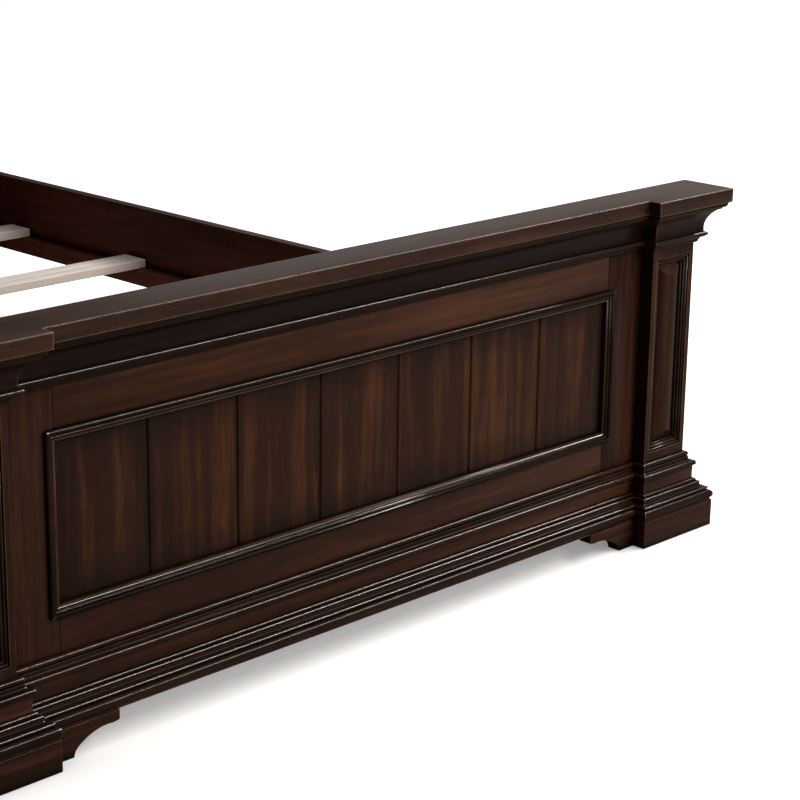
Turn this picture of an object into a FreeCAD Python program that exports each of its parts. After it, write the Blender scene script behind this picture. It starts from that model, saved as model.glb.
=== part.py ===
import FreeCAD, Part
import os
import re
import Sketcher

# Queen panel bed: a low footboard and a tall headboard of the same joinery (cap, cornice,
# breakfront posts with a split column, stiles, rails and V-grooved planks in a bolection
# moulding), two side rails with cleats, a head cross rail, five slats and their centre legs.
# Frame: +X to the right seen from the foot, +Y from foot to head, +Z up, origin on the floor
# under the middle of the bed. Millimetres.

os.makedirs("parts", exist_ok=True)

# Driving dimensions.
drivingSizes = {
    # overall
    "plinthWidth": 1704,          # across both foot blocks
    "footboardHeight": 642,
    "headboardHeight": 1420,
    "headboardInset": 45,         # headboard posts' outer sides inside the footboard posts'
    # cap and mouldings, the same on both ends of the bed
    "capThickness": 25,
    "capOverhang": 5,             # past the plinth blocks and the cornice
    "capBackOverhang": 8,
    "corniceHeight": 75,
    "corniceProjection": 42,      # from the post's face to the cornice's outer edge
    "surbaseHeight": 28,
    "bandHeight": 25,
    "bandProud": 14,
    "baseMouldingHeight": 42,
    "footHeight": 50,
    # posts
    "blockWidth": 200,
    "postDepth": 56,
    "postStile": 11.5,            # plain edge beside the sunk field of a post
    "fieldMargin": 18,            # plain part above and below the field
    "postMouldingWidth": 15,
    "fieldDepth": 12,
    "columnRise": 14,             # crown of the split column above the field
    "columnBevel": 20,            # sloped cut at each end of the split column
    "columnGap": 3,               # flat beside the split column
    "headFieldBottom": 600,
    # framed panel
    "recessDepth": 25.5,          # panel frame behind the post's face
    "frameThickness": 25,
    "stileWidth": 93,
    "topRailShow": 62,            # rail seen above the panel moulding
    "bottomRailShow": 55,
    "headPanelBottom": 540,
    "headRailDepth": 150,         # bottom rail of the headboard, top to bottom
    "mouldingWidth": 19,
    "mouldingLap": 17,            # moulding over the panel frame
    "plankSetback": 8,
    "plankThickness": 12,
    "plankGroove": 3,             # side of the bevel that makes half a V-groove
    "plankGap": 0.4,
    "tongueReach": 5,
    "tongueFront": 4.5,           # tongue's faces behind the plank's face
    "tongueBack": 8,
    "tongueSlack": 0.3,
    # bracket feet
    "bracketLength": 122,
    "bracketThickness": 27,
    "bracketToe": 39,
    "bracketNose": 17,            # height of the square outer end
    # rails, cleats and slats
    "railInset": 7,               # rails' outer faces inside the posts' outer sides
    "railLength": 2083,
    "railThickness": 25,
    "railHeight": 178,
    "railTop": 368,
    "crossRailThickness": 25,
    "cleatThickness": 25,
    "cleatHeight": 40,
    "cleatRise": 2,               # cleat's lower edge above the rail's
    "slatThickness": 19,
    "slatWidth": 75,
    "slatHeadGap": 66,            # from the cross rail to the first slat
    "slatFootGap": 130,           # from the last slat to the footboard posts
    "slatEndGap": 3,
    # centre legs
    "legSide": 42,
    # fastenings
    "hookPlateHeight": 125,
    "hookPlateRise": 3,           # above the cleat
    "hookPlateLength": 43,
    "hookPlateWidth": 22,
    "hookPlateThickness": 3,
    "boltDiameter": 8,
    "boltSpacing": 90,
    "boltHeadDiameter": 20,
    "boltHeadHeight": 6,
    "boltClearance": 0.3,
    "boltBite": 34,               # into the headboard post
    "easing": 1.5,                # small round on exposed edges
}

plankCount = 7
slatCount = 5

doc = FreeCAD.newDocument("PanelBed")
sizes = doc.addObject("Spreadsheet::Sheet", "Sizes")
for row, (name, length) in enumerate(drivingSizes.items(), start=1):
    sizes.set("A%d" % row, name)
    sizes.set("B%d" % row, str(length))
    sizes.setAlias("B%d" % row, name)
doc.recompute()

layout = doc.addObject("App::VarSet", "Layout")
derivedNames = []


def boundText(text):
    """The expression with each size's name led by the object that holds it."""
    def lead(found):
        word = found.group(0)
        if word in drivingSizes:
            return "Sizes." + word
        if word in derivedNames:
            return "Layout." + word
        return word
    return re.sub(r"[A-Za-z]+", lead, text)


def bind(item, prop, text):
    item.setExpression(prop, boundText(text))


def derive(name, text):
    """Adds a worked-out place or size to the layout."""
    layout.addProperty("App::PropertyFloat", name)
    layout.setExpression(name, boundText(text).replace("Layout.", ""))
    derivedNames.append(name)


derive("blockHalf", "plinthWidth / 2")
derive("postWidth", "blockWidth - 2 * corniceProjection")
derive("overallLength", "capOverhang + corniceProjection + 2 * postDepth + railLength"
                        " + crossRailThickness + capBackOverhang")
derive("blockFront", "capOverhang - overallLength / 2")
derive("footPostFront", "blockFront + corniceProjection")
derive("footPostBack", "footPostFront + postDepth")
derive("footPanelFront", "footPostFront + recessDepth")
derive("footPostOuter", "blockHalf - corniceProjection")
derive("footPostInner", "footPostOuter - postWidth")
derive("footPanelHalf", "footPostInner - stileWidth")
derive("crossFront", "footPostBack + railLength")
derive("headPostFront", "crossFront + crossRailThickness")
derive("headPostBack", "headPostFront + postDepth")
derive("headPanelFront", "headPostFront + recessDepth")
derive("headPostOuter", "footPostOuter - headboardInset")
derive("headPostInner", "headPostOuter - postWidth")
derive("headPanelHalf", "headPostInner - stileWidth")
derive("footPostTop", "footboardHeight - capThickness")
derive("footCorniceBottom", "footPostTop - corniceHeight")
derive("headPostTop", "headboardHeight - capThickness")
derive("headCorniceBottom", "headPostTop - corniceHeight")
derive("bandBottom", "footHeight + baseMouldingHeight")
derive("bandTop", "bandBottom + bandHeight")
derive("postShowBottom", "bandTop + surbaseHeight")
derive("footOpeningTop", "footCorniceBottom - topRailShow - mouldingLap")
derive("footOpeningBottom", "postShowBottom + bottomRailShow + mouldingLap")
derive("headOpeningTop", "headCorniceBottom - topRailShow - mouldingLap")
derive("headOpeningBottom", "headPanelBottom + mouldingLap")
derive("footFieldTop", "footCorniceBottom - fieldMargin")
derive("footFieldBottom", "postShowBottom + fieldMargin")
derive("headFieldTop", "headCorniceBottom - fieldMargin")
derive("railOuter", "footPostOuter - railInset")
derive("railInner", "railOuter - railThickness")
derive("railBottom", "railTop - railHeight")
derive("cleatBottom", "railBottom + cleatRise")
derive("cleatTop", "cleatBottom + cleatHeight")
derive("slatTop", "cleatTop + slatThickness")
derive("slatRun", "railLength - slatHeadGap - slatFootGap - slatWidth")
doc.recompute()


def size(name):
    """A size as a number, for outlines that are drawn point by point."""
    holder = sizes if name in drivingSizes else layout
    return float(getattr(holder, name))


# Shared ways of making a piece.
def board(label, x, y, z):
    """A square-edged board between bound limits: x, y and z are each (low, high)."""
    piece = doc.addObject("Part::Box", label)
    piece.Label = label
    for prop, axis, (low, high) in (("Length", "x", x), ("Width", "y", y), ("Height", "z", z)):
        bind(piece, prop, "(%s) - (%s)" % (high, low))
        bind(piece, "Placement.Base." + axis, low)
    return piece


def sided(side, inner, outer):
    """The x limits of a piece on the left (-1) or the right (1)."""
    if side > 0:
        return (inner, outer)
    return ("-(%s)" % outer, "-(%s)" % inner)


def sideName(side):
    return "left" if side < 0 else "right"


def fused(label, members):
    piece = doc.addObject("Part::MultiFuse", label)
    piece.Label = label
    piece.Shapes = members
    return piece


def cut(label, base, tool):
    piece = doc.addObject("Part::Cut", label)
    piece.Label = label
    piece.Base = base
    piece.Tool = tool
    return piece


def joined(label, members):
    """Like pieces that share one node, kept as separate solids."""
    group = doc.addObject("Part::Compound", label)
    group.Label = label
    group.Links = members
    return group


def eased(label, base, chosen):
    """Rounds the edges that chosen(edge) picks."""
    doc.recompute()
    radius = size("easing")
    picked = [number for number, edge in enumerate(base.Shape.Edges, start=1) if chosen(edge)]
    piece = doc.addObject("Part::Fillet", label)
    piece.Label = label
    piece.Base = base
    piece.Edges = [(number, radius, radius) for number in picked]
    return piece


def rod(label, radius, start, length, side, step):
    """A cylinder along +Y on the line of one cross rail bolt."""
    piece = doc.addObject("Part::Cylinder", label)
    piece.Label = label
    piece.Placement.Rotation = FreeCAD.Rotation(FreeCAD.Vector(1, 0, 0), -90)
    bind(piece, "Radius", radius)
    bind(piece, "Height", length)
    bind(piece, "Placement.Base.x", "%d * (headPostInner + headPostOuter) / 2" % side)
    bind(piece, "Placement.Base.y", start)
    bind(piece, "Placement.Base.z", "(railTop + cleatTop) / 2 + %d * boltSpacing / 2" % step)
    return piece


def boltHoles(label, start, length, sides):
    holes = [rod("%s_%s_%d" % (label, sideName(side), step), "boltDiameter / 2 + boltClearance",
                 start, length, side, step) for side in sides for step in (-1, 1)]
    return fused(label, holes)


def originPlane(body, role):
    return [plane for plane in body.Origin.OriginFeatures if plane.Role == role][0]


def outlineSketch(body, name, plane, points, lift=0.0, closed=True):
    """Draws (u, v) corners; (u, v, um, vm) is an arc to u, v by way of um, vm."""
    sketch = body.newObject("Sketcher::SketchObject", name)
    sketch.AttachmentSupport = [(originPlane(body, plane), "")]
    sketch.MapMode = "FlatFace"
    sketch.AttachmentOffset = FreeCAD.Placement(FreeCAD.Vector(0, 0, lift), FreeCAD.Rotation())
    last = points[0]
    for point in points[1:] + ([points[0][:2]] if closed else []):
        start = FreeCAD.Vector(last[0], last[1], 0)
        end = FreeCAD.Vector(point[0], point[1], 0)
        if len(point) == 4:
            sketch.addGeometry(Part.Arc(start, FreeCAD.Vector(point[2], point[3], 0), end), False)
        else:
            sketch.addGeometry(Part.LineSegment(start, end), False)
        last = point
    return sketch


def placed(outline, across, up):
    """Moves a profile of (out, up) points; across(out) and up(height) give the sketch's axes."""
    points = []
    for point in outline:
        moved = (across(point[0]), up(point[1]))
        if len(point) == 4:
            moved += (across(point[2]), up(point[3]))
        points.append(moved)
    return points


def pocketThrough(body, sketch):
    """Cuts the sketch through the whole body, both ways."""
    doc.recompute()
    before = body.Shape.Volume
    pocket = body.newObject("PartDesign::Pocket", "cut")
    pocket.Profile = sketch
    pocket.Type = "ThroughAll"
    pocket.Midplane = True
    doc.recompute()
    if body.Shape.Volume >= before:
        raise RuntimeError("the cut in %s removed nothing" % body.Label)
    return pocket


# Moulding profiles.
# Each is a list of (out, up) from the face it is fixed to, with arcs as (out, up, outMid, upMid).
def corniceProfile():
    out = size("corniceProjection")
    tall = size("corniceHeight")
    return [
        (0, 0), (5, 5, 3.8, 1.4), (6, 5.5), (14, 11.5, 8.5, 9.8), (14, 12.5),
        (13.4, 20.5, 17.6, 16.3), (11.6, 20.5), (11.6, 24),
        (out - 10, tall - 12.5, out - 26, tall - 28.6), (out - 8, tall - 12.5), (out - 8, tall - 10),
        (out - 1, tall - 4, out - 2.8, tall - 8.2), (out - 1, tall - 2.5), (out, tall - 2.5),
        (out, tall), (0, tall),
    ]


def surbaseProfile():
    tall = size("surbaseHeight")
    lip = size("bandProud")
    return [
        (0, 0), (lip, 0), (lip + 4.4, 3.2, lip + 3.5, 0.8), (lip + 4.4, 5.6), (lip, 9.4, lip + 3.3, 8.5),
        (lip - 1.5, 9.4),
        (7.6, 16.5, 8.6, 11.6), (7.6, 18), (4.6, 18), (2.2, tall - 0.4, 7.2, 23.4), (0, tall - 0.4),
    ]


def baseProfile():
    back = size("bandProud")
    out = size("corniceProjection")
    tall = size("baseMouldingHeight")
    return [
        (back, 0), (out - 2.5, 0), (out - 2.5, 2.5), (out - 4, 2.5), (out - 6, 19, out + 1.2, 10.2),
        (out - 8, 19), (out - 8, 20.5), (out - 9.5, 25, out - 5.8, 22.9), (out - 11.5, 25),
        (out - 11.5, 26), (24.5, 30.5, 25.6, 27), (24.5, 31.5), (22.5, 31.5), (21, 36, 24.7, 33.8),
        (19, 36), (19, 37), (back + 0.5, tall - 0.5, 18.8, 40.4), (back, tall - 0.5),
    ]


def bolectionProfile():
    wide = size("mouldingWidth")
    lap = size("mouldingLap")
    back = -size("plankSetback")
    return [
        (0, 0), (0, 1.2), (8.5, 3.2, 3.6, 6.8), (9.7, 3.2), (9.7, 1.8), (13, 1, 11.4, 3.2), (13, 0.5),
        (lap + 0.4, 0.5), (wide, -3.5, lap + 1.6, -1), (wide, back), (lap, back), (lap, 0),
    ]


def postMouldingProfile():
    wide = size("postMouldingWidth")
    back = -size("fieldDepth")
    return [
        (0, back), (0, -5), (1.5, -5), (6, -3.4, 3.2, -1.5), (6, -5), (7, -5), (10, -6.2, 8.8, -3.7),
        (10, -7.8), (11.5, -7.8), (wide - 0.6, back + 1, wide - 1.2, back + 3.6), (wide - 0.6, back),
    ]


# Mitred runs of moulding.
def mitreTriangle(end, side, keepReturn):
    """The waste beyond the inside mitre, where a post's return meets the middle run."""
    reach = size("corniceProjection")
    spare = 4.0
    corner = (side * size(end + "PostInner"), size(end + "PanelFront"))
    outer = (corner[0] - side * (reach + spare), corner[1] - reach - spare)
    inner = (corner[0] + side * spare, corner[1] + spare)
    if keepReturn:
        return [outer, inner, (outer[0], inner[1])]
    return [outer, inner, (inner[0], outer[1])]


def postRun(label, end, side, profile, bottomName):
    """A moulding wrapped round a post: outer return, face and inner return, mitred."""
    body = doc.addObject("PartDesign::Body", label)
    body.Label = label
    bottom = size(bottomName)
    outer = side * size(end + "PostOuter")
    inner = side * size(end + "PostInner")
    front = size(end + "PostFront")
    back = size(end + "PostBack")
    meet = size(end + "PanelFront")
    section = outlineSketch(
        body, "section", "XZ_Plane",
        placed(profile, lambda out: outer + side * out, lambda up: bottom + up), -back)
    path = outlineSketch(
        body, "path", "XY_Plane",
        [(outer, back), (outer, front), (inner, front), (inner, meet)], bottom, False)
    doc.recompute()
    run = body.newObject("PartDesign::AdditivePipe", "run")
    run.Profile = section
    run.Spine = (path, ["Edge1", "Edge2", "Edge3"])
    run.Mode = "Standard"
    run.Transition = "Right corner"
    doc.recompute()
    waste = outlineSketch(body, "mitre", "XY_Plane", mitreTriangle(end, side, True), bottom)
    pocketThrough(body, waste)
    return body


def middleRun(label, end, profile, bottomName):
    """The long moulding between the posts, mitred to their returns at both ends."""
    body = doc.addObject("PartDesign::Body", label)
    body.Label = label
    bottom = size(bottomName)
    face = size(end + "PanelFront")
    section = outlineSketch(
        body, "section", "YZ_Plane",
        placed(profile, lambda out: face - out, lambda up: bottom + up))
    length = body.newObject("PartDesign::Pad", "length")
    length.Profile = section
    length.Midplane = True
    bind(length, "Length", "2 * %sPostInner" % end)
    for side in (-1, 1):
        waste = outlineSketch(body, "mitre", "XY_Plane", mitreTriangle(end, side, False), bottom)
        pocketThrough(body, waste)
    return body


def framedLengths(label, profile, centre, half, bottom, top, face):
    """Four mitred lengths round an opening: out is measured inwards from the outer edge."""
    wide = max(point[0] for point in profile)
    spare = 4.0
    lengths = []
    for name, level, upright in (("bottom", bottom, False), ("top", top, False),
                                 ("left", -1, True), ("right", 1, True)):
        body = doc.addObject("PartDesign::Body", "%s_%s" % (label, name))
        pad = body.newObject("PartDesign::Pad", "length")
        if upright:
            pad.Profile = outlineSketch(
                body, "section", "XY_Plane",
                placed(profile, lambda out: centre + level * (half - out), lambda proud: face - proud),
                bottom)
            pad.Length = top - bottom
            corners = [(level, 1, bottom), (level, -1, top)]
        else:
            inward = 1 if name == "bottom" else -1
            turned = [tuple(value for pair in zip(point[1::2], point[0::2]) for value in pair)
                      for point in profile]
            pad.Profile = outlineSketch(
                body, "section", "YZ_Plane",
                placed(turned, lambda proud: face - proud, lambda out: level + inward * out), centre)
            pad.Length = 2 * half
            pad.Midplane = True
            corners = [(-1, inward, level), (1, inward, level)]
        for hand, rise, edge in corners:
            tip = (centre + hand * (half + spare), edge - rise * spare)
            heel = (centre + hand * (half - wide - spare), edge + rise * (wide + spare))
            third = (heel[0], tip[1]) if upright else (tip[0], heel[1])
            pocketThrough(body, outlineSketch(body, "mitre", "XZ_Plane", [tip, heel, third]))
        lengths.append(body)
    return lengths


# Posts.
def post(end, side, bottom):
    """A post with its front sunk for the moulded field."""
    label = "%sboard_post_%s" % (end, sideName(side))
    front = end + "PostFront"
    core = board(
        label + "_core",
        sided(side, end + "PostInner", end + "PostOuter"),
        (front, end + "PostBack"), (bottom, end + "PostTop"))
    sunk = board(
        label + "_field",
        sided(side, end + "PostInner + postStile", end + "PostOuter - postStile"),
        (front + " - 5", front + " + fieldDepth"), (end + "FieldBottom", end + "FieldTop"))
    plain = cut(label + "_sunk", core, sunk)
    if end == "head":
        holes = boltHoles(label + "_holes", "headPostFront - 1", "boltBite + 3", (side,))
        plain = cut(label + "_drilled", plain, holes)
    corners = (size(end + "PostInner"), size(end + "PostOuter"))

    def frontCorner(edge):
        box = edge.BoundBox
        upright = box.ZLength > 0.9 * (size(end + "PostTop") - size("footHeight"))
        return (upright and abs(box.YMin - size(front)) < 0.01
                and min(abs(abs(box.XMin) - corner) for corner in corners) < 0.01)
    return eased(label, plain, frontCorner)


def postMoulding(end, side):
    """The stepped frame that lines the sunk field of a post."""
    centre = side * (size(end + "PostInner") + size(end + "PostOuter")) / 2
    half = size("postWidth") / 2 - size("postStile")
    return framedLengths(
        "%s_post_moulding_%s" % (end, sideName(side)), postMouldingProfile(), centre, half,
        size(end + "FieldBottom"), size(end + "FieldTop"), size(end + "PostFront"))


def splitColumn(end, side, label):
    """Half-round strip in the post's field, its ends cut on a slope."""
    body = doc.addObject("PartDesign::Body", label)
    body.Label = label
    centre = side * (size(end + "PostInner") + size(end + "PostOuter")) / 2
    floor = size(end + "PostFront") + size("fieldDepth")
    rise = size("columnRise")
    margin = size("postMouldingWidth")
    half = size("postWidth") / 2 - size("postStile") - margin - size("columnGap")
    low = size(end + "FieldBottom") + margin
    high = size(end + "FieldTop") - margin
    slope = size("columnBevel")
    sideView = outlineSketch(
        body, "side", "YZ_Plane",
        [(floor, low), (floor - rise, low + slope), (floor - rise, high - slope), (floor, high)],
        centre)
    strip = body.newObject("PartDesign::Pad", "strip")
    strip.Profile = sideView
    strip.Midplane = True
    strip.Length = 2 * half
    spare = rise + 5
    rounding = outlineSketch(
        body, "rounding", "XY_Plane",
        [(centre - half, floor - 0.6), (centre + half, floor - 0.6, centre, floor - rise),
         (centre + half + 1, floor - 0.6), (centre + half + 1, floor - spare),
         (centre - half - 1, floor - spare), (centre - half - 1, floor - 0.6)], low)
    pocketThrough(body, rounding)
    return body


# Framed panel.
def panelFrame(end, bottomName, railBottom):
    """Stiles run full height and the rails butt between them."""
    front = end + "PanelFront"
    depth = (front, front + " + frameThickness")
    top = end + "PostTop"
    for side in (-1, 1):
        board("%sboard_stile_%s" % (end, sideName(side)),
              sided(side, end + "PanelHalf", end + "PostInner"), depth, (bottomName, top))
    across = ("-" + end + "PanelHalf", end + "PanelHalf")
    board("%sboard_top_rail" % end, across, depth, (end + "OpeningTop", top))
    board("%sboard_bottom_rail" % end, across, depth, (railBottom, end + "OpeningBottom"))


def plank(end, number, label):
    """A bevelled, tongued and grooved plank, set upright in the frame's opening."""
    body = doc.addObject("PartDesign::Body", label)
    body.Label = label
    gap = size("plankGap")
    width = 2 * size(end + "PanelHalf") / plankCount
    left = -size(end + "PanelHalf") + number * width + gap / 2
    right = left + width - gap
    front = size(end + "PanelFront") + size("plankSetback")
    back = front + size("plankThickness")
    bevel = size("plankGroove")
    tongue = size("tongueReach")
    tongueFront = front + size("tongueFront")
    tongueBack = front + size("tongueBack")
    slack = size("tongueSlack")
    outline = [(left + bevel, front), (right - bevel, front), (right, front + bevel)]
    if number < plankCount - 1:
        outline += [(right, tongueFront), (right + tongue, tongueFront), (right + tongue, tongueBack),
                    (right, tongueBack)]
    outline += [(right, back), (left, back)]
    if number > 0:
        sunk = left + tongue + slack
        outline += [(left, tongueBack + slack), (sunk, tongueBack + slack), (sunk, tongueFront - slack),
                    (left, tongueFront - slack)]
    outline += [(left, front + bevel)]
    bottom = size(end + "OpeningBottom") + gap / 2
    section = outlineSketch(body, "section", "XY_Plane", outline, bottom)
    length = body.newObject("PartDesign::Pad", "length")
    length.Profile = section
    bind(length, "Length", "%sOpeningTop - %sOpeningBottom - plankGap" % (end, end))
    return body


def panelMoulding(end):
    """The bolection moulding that laps the frame and holds the planks in."""
    lap = size("mouldingLap")
    return joined("%sboard_panel_moulding" % end, framedLengths(
        "%s_bolection" % end, bolectionProfile(), 0.0, size(end + "PanelHalf") + lap,
        size(end + "OpeningBottom") - lap, size(end + "OpeningTop") + lap,
        size(end + "PanelFront")))


# Cap.
def cap(end):
    """The top board, stepped forward over the posts."""
    label = "%sboard_cap" % end
    body = doc.addObject("PartDesign::Body", label)
    body.Label = label
    reach = size("corniceProjection") + size("capOverhang")
    front = size(end + "PostFront") - reach
    back = size(end + "PostBack") + size("capBackOverhang")
    half = size(end + "PostOuter") + reach
    step = size(end + "PostInner") - reach
    setBack = front + size("recessDepth")
    plan = outlineSketch(
        body, "plan", "XY_Plane",
        [(-half, front), (-step, front), (-step, setBack), (step, setBack), (step, front),
         (half, front), (half, back), (-half, back)], size(end + "PostTop"))
    slab = body.newObject("PartDesign::Pad", "slab")
    slab.Profile = plan
    bind(slab, "Length", "capThickness")
    doc.recompute()
    rounding = body.newObject("PartDesign::Fillet", "rounding")
    lifted = size(end + "PostTop") + size("capThickness") / 2
    names = []
    for number, edge in enumerate(slab.Shape.Edges, start=1):
        if edge.BoundBox.ZMax > lifted:
            names.append("Edge%d" % number)
    rounding.Base = (slab, names)
    bind(rounding, "Radius", "easing")
    return body


# The two ends of the bed.
def boardEnd(end, postBottom, frameBottom, railBottom):
    cap(end)
    middleRun("%sboard_cornice_centre" % end, end, corniceProfile(), end + "CorniceBottom")
    for side in (-1, 1):
        post(end, side, postBottom)
    panelFrame(end, frameBottom, railBottom)
    panelMoulding(end)


boardEnd("foot", "footHeight", "footHeight", "footHeight")
boardEnd("head", "0", "headOpeningBottom - headRailDepth", "headOpeningBottom - headRailDepth")

for side in (-1, 1):
    hand = sideName(side)
    postRun("footboard_cornice_" + hand, "foot", side, corniceProfile(), "footCorniceBottom")
    postRun("footboard_surbase_" + hand, "foot", side, surbaseProfile(), "bandTop")
    postRun("footboard_base_moulding_" + hand, "foot", side, baseProfile(), "footHeight")
middleRun("footboard_surbase_centre", "foot", surbaseProfile(), "bandTop")
middleRun("footboard_base_moulding_centre", "foot", baseProfile(), "footHeight")
for number in range(plankCount):
    plank("foot", number, "footboard_plank_%d" % (number + 1))


for end in ("foot", "head"):
    joined("%sboard_post_mouldings" % end, postMoulding(end, -1) + postMoulding(end, 1))
    joined("%sboard_split_columns" % end, [
        splitColumn(end, side, "%s_split_column_%s" % (end, sideName(side))) for side in (-1, 1)])
joined("headboard_cornice_returns", [
    postRun("head_cornice_" + sideName(side), "head", side, corniceProfile(), "headCorniceBottom")
    for side in (-1, 1)])
joined("headboard_planks", [
    plank("head", number, "head_plank_%d" % (number + 1)) for number in range(plankCount)])


# Plinth of the footboard.
def plinthWrap(side):
    """The band block that wraps the foot of a post on three sides."""
    hand = sideName(side)
    outer = board(
        "plinth_outer_" + hand,
        sided(side, "footPostInner - bandProud", "footPostOuter + bandProud"),
        ("footPostFront - bandProud", "footPostBack"), ("footHeight", "bandTop"))
    room = board(
        "plinth_room_" + hand,
        sided(side, "footPostInner", "footPostOuter"),
        ("footPostFront", "footPostBack + 5"), ("footHeight - 5", "bandTop + 5"))
    openBack = cut("plinth_open_" + hand, outer, room)
    behind = board(
        "plinth_apron_room_" + hand,
        sided(side, "footPostInner - bandProud - 5", "footPostInner"),
        ("footPanelFront - bandProud", "footPostBack + 5"), ("footHeight - 5", "bandTop + 5"))
    return cut("footboard_plinth_" + hand, openBack, behind)


def footBlock(side):
    hand = sideName(side)
    block = board(
        "foot_block_core_" + hand, sided(side, "blockHalf - blockWidth", "blockHalf"),
        ("blockFront", "footPostBack"), ("0", "footHeight"))

    def upright(edge):
        return edge.BoundBox.ZLength > size("footHeight") - 1
    return eased("foot_block_" + hand, block, upright)


def bracketFoot(side):
    """A bracket foot beside each block, hollowed by one sweep up to its square end."""
    label = "bracket_foot_" + sideName(side)
    body = doc.addObject("PartDesign::Body", label)
    body.Label = label
    root = size("blockHalf") - size("blockWidth")
    tip = root - size("bracketLength")
    toe = root - size("bracketToe")
    tall = size("footHeight")
    nose = tall - size("bracketNose")
    front = size("footPanelFront") - size("corniceProjection")
    outline = [
        (root, 0), (root, tall), (tip, tall), (tip, nose + 3), (tip + 3, nose, tip + 0.9, nose + 0.9),
        (tip + 12, nose - 1), (toe - 9, 15, tip + 0.44 * size("bracketLength"), 0.53 * tall),
        (toe, 0, toe - 2.6, 8.5),
    ]
    outline = [tuple(side * value if index % 2 == 0 else value for index, value in enumerate(point))
               for point in outline]
    face = outlineSketch(body, "face", "XZ_Plane", outline, -front)
    thickness = body.newObject("PartDesign::Pad", "thickness")
    thickness.Profile = face
    thickness.Reversed = True
    bind(thickness, "Length", "bracketThickness")
    return body


for side in (-1, 1):
    plinthWrap(side)
    footBlock(side)
    bracketFoot(side)
board(
    "footboard_apron", ("-footPostInner", "footPostInner"),
    ("footPanelFront - bandProud", "footPanelFront"), ("footHeight", "bandTop"))


# Rails, cleats and slats.
def longEdges(lowest):
    """Picks the lengthwise edges at or above a height."""
    def chosen(edge):
        box = edge.BoundBox
        return max(box.XLength, box.YLength) > 500 and box.ZMin > lowest
    return chosen


for side in (-1, 1):
    hand = sideName(side)
    rail = board(
        "side_rail_board_" + hand, sided(side, "railInner", "railOuter"),
        ("footPostBack", "crossFront"), ("railBottom", "railTop"))
    eased("side_rail_" + hand, rail, longEdges(size("railTop") - 1))
    board(
        "slat_cleat_" + hand, sided(side, "railInner - cleatThickness", "railInner"),
        ("footPostBack + plankGap", "crossFront - plankGap"), ("cleatBottom", "cleatTop"))
crossBoard = board(
    "cross_rail_board", ("-railOuter", "railOuter"), ("crossFront", "headPostFront"),
    ("railBottom", "railTop"))
crossHoles = boltHoles("cross_rail_holes", "crossFront - 1", "crossRailThickness + 2", (-1, 1))
eased("head_cross_rail", cut("cross_rail_drilled", crossBoard, crossHoles), longEdges(size("railTop") - 1))

legs = []
for number in range(1, slatCount + 1):
    far = "crossFront - slatHeadGap - slatRun * %d / %d" % (number - 1, slatCount - 1)
    slat = board(
        "slat_board_%d" % number, ("-railInner + slatEndGap", "railInner - slatEndGap"),
        (far + " - slatWidth", far), ("cleatTop", "slatTop"))
    eased("slat_%d" % number, slat, longEdges(0))
    if 1 < number < slatCount:
        middle = "%s - slatWidth / 2" % far
        leg = board(
            "slat_leg_%d" % number, ("-legSide / 2", "legSide / 2"),
            (middle + " - legSide / 2", middle + " + legSide / 2"), ("0", "cleatTop"))
        legs.append(leg)
joined("slat_centre_legs", legs)


# Fastenings.
def hookPlates():
    """Steel plates on the rails' inner faces, whose hooks drop into the post plates."""
    plates = []
    for side in (-1, 1):
        hand = sideName(side)
        plate = board(
            "hook_plate_" + hand, sided(side, "railInner - hookPlateThickness", "railInner"),
            ("footPostBack + hookPlateThickness", "footPostBack + hookPlateLength"),
            ("cleatTop + hookPlateRise", "cleatTop + hookPlateRise + hookPlateHeight"))
        plates.append(plate)
    return joined("rail_hook_plates", plates)


def postPlates():
    """Slotted steel plates on the backs of the footboard posts, which the hooks drop into."""
    plates = []
    for side in (-1, 1):
        hand = sideName(side)
        plate = board(
            "post_plate_" + hand,
            sided(side, "railInner - hookPlateThickness - hookPlateWidth", "railInner"),
            ("footPostBack", "footPostBack + hookPlateThickness"),
            ("cleatTop + hookPlateRise", "cleatTop + hookPlateRise + hookPlateHeight"))
        plates.append(plate)
    return joined("post_slot_plates", plates)


def crossBolts():
    """Bolts through the head cross rail into the headboard posts."""
    bolts = []
    for side in (-1, 1):
        for step in (-1, 1):
            name = "bolt_%s_%s" % (sideName(side), "low" if step < 0 else "high")
            shank = rod(name + "_shank", "boltDiameter / 2", "crossFront",
                        "crossRailThickness + boltBite", side, step)
            head = rod(name + "_head", "boltHeadDiameter / 2", "crossFront - boltHeadHeight",
                       "boltHeadHeight", side, step)
            bolts.append(fused(name, [shank, head]))
    return joined("cross_rail_bolts", bolts)


hookPlates()
postPlates()
crossBolts()
doc.recompute()

# Check and write each piece.
nodeNames = (
    ["%sboard_%s" % (end, name) for end in ("foot", "head") for name in (
        "cap", "cornice_centre", "post_left", "post_right", "stile_left", "stile_right",
        "top_rail", "bottom_rail", "panel_moulding", "post_mouldings", "split_columns")]
    + ["footboard_%s_%s" % (name, hand) for name in (
        "cornice", "surbase", "base_moulding", "plinth")
        for hand in ("left", "right")]
    + ["footboard_surbase_centre", "footboard_base_moulding_centre", "footboard_apron"]
    + ["footboard_plank_%d" % (number + 1) for number in range(plankCount)]
    + ["headboard_cornice_returns", "headboard_planks"]
    + ["%s_%s" % (name, hand) for name in ("foot_block", "bracket_foot", "side_rail", "slat_cleat")
       for hand in ("left", "right")]
    + ["head_cross_rail"]
    + ["slat_%d" % (number + 1) for number in range(slatCount)]
    + ["slat_centre_legs", "rail_hook_plates", "post_slot_plates", "cross_rail_bolts"]
)

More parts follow.
